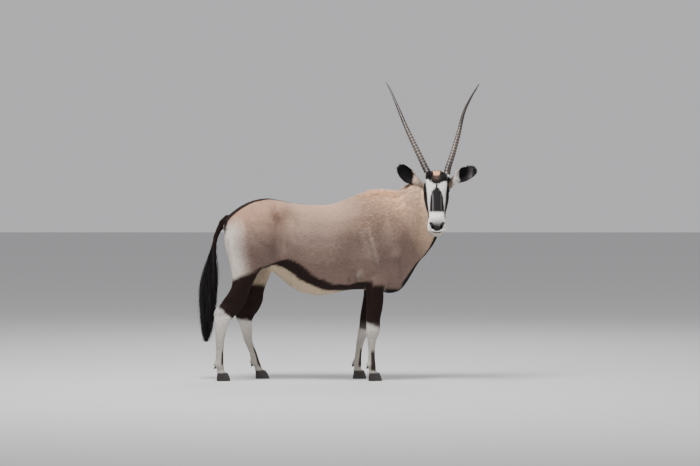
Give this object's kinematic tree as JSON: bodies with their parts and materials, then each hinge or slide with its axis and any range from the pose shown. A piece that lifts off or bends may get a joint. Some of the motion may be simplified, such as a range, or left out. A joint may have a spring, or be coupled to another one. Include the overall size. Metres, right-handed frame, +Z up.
{
  "type": "gemsbok",
  "caption": "Life-size gemsbok standing side on with its head turned to its right, long ringed horns, banded face and a long dark tail brush.",
  "frame": {"origin": "on the floor, under the middle of the animal's bounding box", "axes": "+Z up, +X along the body towards the chest, +Y towards the animal's left side; the face looks along -Y"},
  "size_m": [1.7572, 0.6816, 1.8707],
  "materials": {
    "body_coat": "short flat pinkish tan-grey fur, orange-tan along the crest",
    "dark_coat": "short black-brown fur on thighs and forearms",
    "leg_coat": "short white fur with a black stripe down the front of each shank",
    "face_coat": "short white fur with black blaze and cheek stripes",
    "ear_coat": "short fur, black inside the cup and at the tip",
    "horn": "dark keratin, ringed below and smooth above",
    "hoof_horn": "dark keratin, finely ridged",
    "eye": "wet, nearly black",
    "tail_hair": "long straight black hair"
  },
  "bodies": {
    "root": {"hind_right_upper_leg": "dark_coat", "hind_right_lower_leg": "leg_coat", "hind_right_outer_claw": "hoof_horn", "hind_right_inner_claw": "hoof_horn", "hind_left_upper_leg": "dark_coat", "hind_left_lower_leg": "leg_coat", "hind_left_outer_claw": "hoof_horn", "hind_left_inner_claw": "hoof_horn", "fore_right_upper_leg": "dark_coat", "fore_right_lower_leg": "leg_coat", "fore_right_outer_claw": "hoof_horn", "fore_right_inner_claw": "hoof_horn", "fore_left_upper_leg": "dark_coat", "fore_left_lower_leg": "leg_coat", "fore_left_outer_claw": "hoof_horn", "fore_left_inner_claw": "hoof_horn", "torso": "body_coat", "neck": "body_coat", "head": "face_coat", "eye_right": "eye", "horn_right": "horn", "ear_right": "ear_coat", "eye_left": "eye", "horn_left": "horn", "ear_left": "ear_coat", "tail": "tail_hair"}
  },
  "joints": []
}
